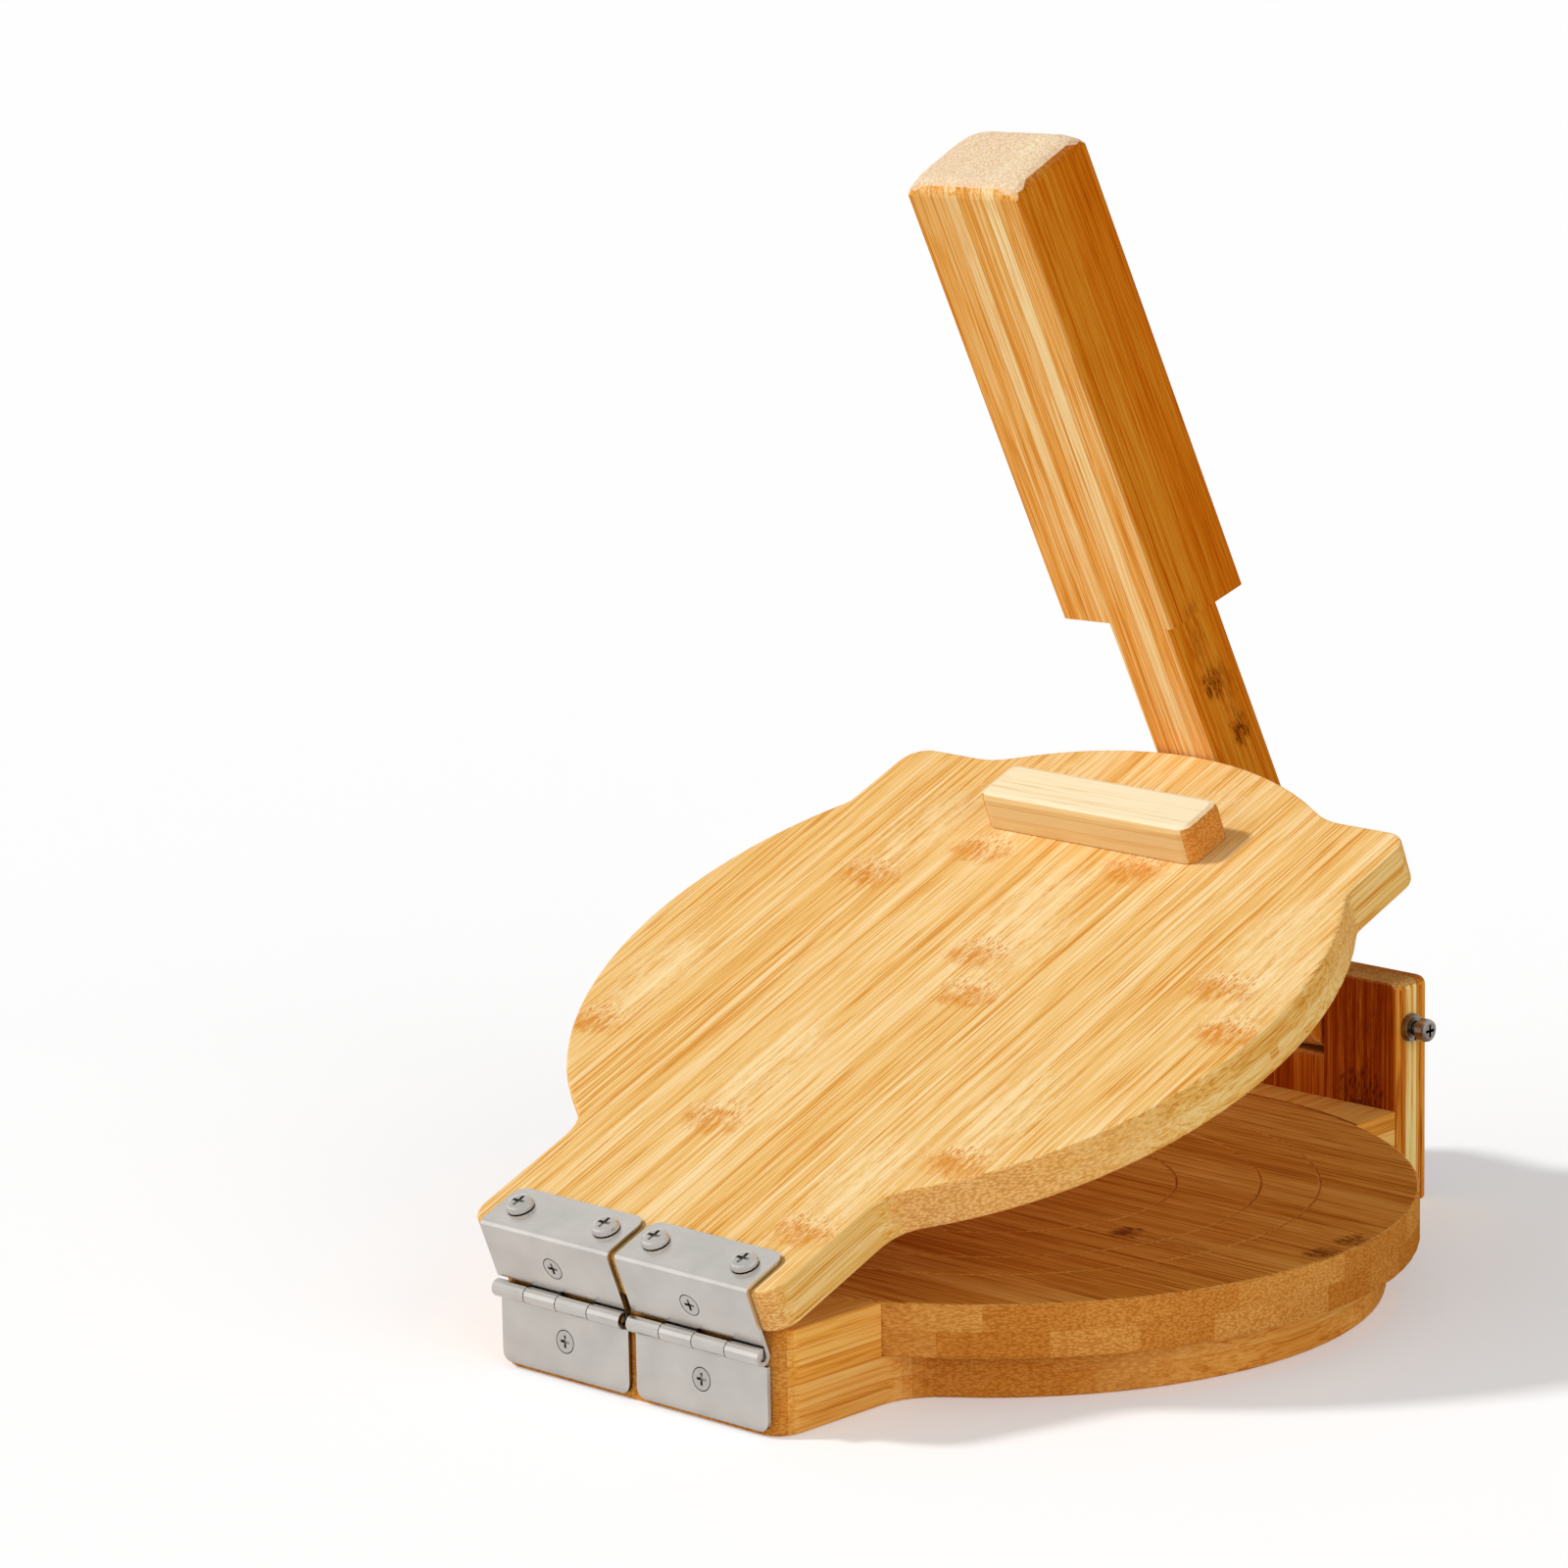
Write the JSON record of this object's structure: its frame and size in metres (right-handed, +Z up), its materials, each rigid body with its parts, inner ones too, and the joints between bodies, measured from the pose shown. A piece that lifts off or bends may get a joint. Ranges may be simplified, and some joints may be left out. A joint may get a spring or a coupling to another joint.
{
  "type": "tortilla press",
  "caption": "Bamboo tortilla press: round press disc, hinged lid with lifting ears and a forked upright whose lever bears on the lid.",
  "frame": {"origin": "centre of the round boards on the underside of the base", "axes": "+Z up, -Y towards the hinges, +Y towards the lever, +X to the right seen from the hinge end"},
  "size_m": [0.25, 0.3184, 0.3381],
  "materials": {
    "lid_bamboo": "satin oil",
    "base_bamboo": "satin oil",
    "press_bamboo": "satin oil",
    "block_bamboo": "satin oil",
    "upright_bamboo": "satin oil",
    "lever_bamboo": "satin oil",
    "bar_bamboo": "satin oil",
    "hinge_steel": "brushed sheet",
    "screw_steel": "bright zinc"
  },
  "bodies": {
    "base": {"base_board": "base_bamboo", "press_disc": "press_bamboo", "hinge_block": "block_bamboo", "yoke_block": "block_bamboo", "upright": "upright_bamboo", "disc_screw_1": "screw_steel", "disc_screw_2": "screw_steel", "disc_screw_3": "screw_steel", "disc_screw_4": "screw_steel", "hinge_block_screw_left": "screw_steel", "hinge_block_screw_right": "screw_steel", "upright_screw_lower_left": "screw_steel", "upright_screw_lower_right": "screw_steel", "upright_screw_upper_left": "screw_steel", "upright_screw_upper_right": "screw_steel", "hinge_left_lower_screw": "screw_steel", "hinge_right_lower_screw": "screw_steel", "hinge_left_lower_leaf": "hinge_steel", "hinge_right_lower_leaf": "hinge_steel", "hinge_left_pin": "screw_steel", "hinge_right_pin": "screw_steel", "pivot_bolt": "screw_steel", "pivot_washer_right": "screw_steel", "pivot_spring_washer": "screw_steel", "pivot_washer_left": "screw_steel", "pivot_nut": "screw_steel"},
    "lid": {"lid_board": "lid_bamboo", "pressure_bar": "bar_bamboo", "hinge_left_upper_leaf": "hinge_steel", "hinge_right_upper_leaf": "hinge_steel", "hinge_left_upper_screw": "screw_steel", "hinge_right_upper_screw": "screw_steel", "hinge_left_flange_screw_outer": "screw_steel", "hinge_left_flange_screw_inner": "screw_steel", "hinge_right_flange_screw_outer": "screw_steel", "hinge_right_flange_screw_inner": "screw_steel"},
    "lever": {"lever": "lever_bamboo"}
  },
  "joints": [
    {"name": "lid_hinge", "type": "hinge", "parent": "base", "child": "lid", "pos_m": [0, -0.1562, 0.024], "axis": [1, 0, 0], "range_deg": [-21.7, 150]},
    {"name": "lever_pivot", "type": "hinge", "parent": "base", "child": "lever", "pos_m": [0, 0.1442, 0.056], "axis": [1, 0, 0], "range_deg": [-114.2, 0]}
  ]
}
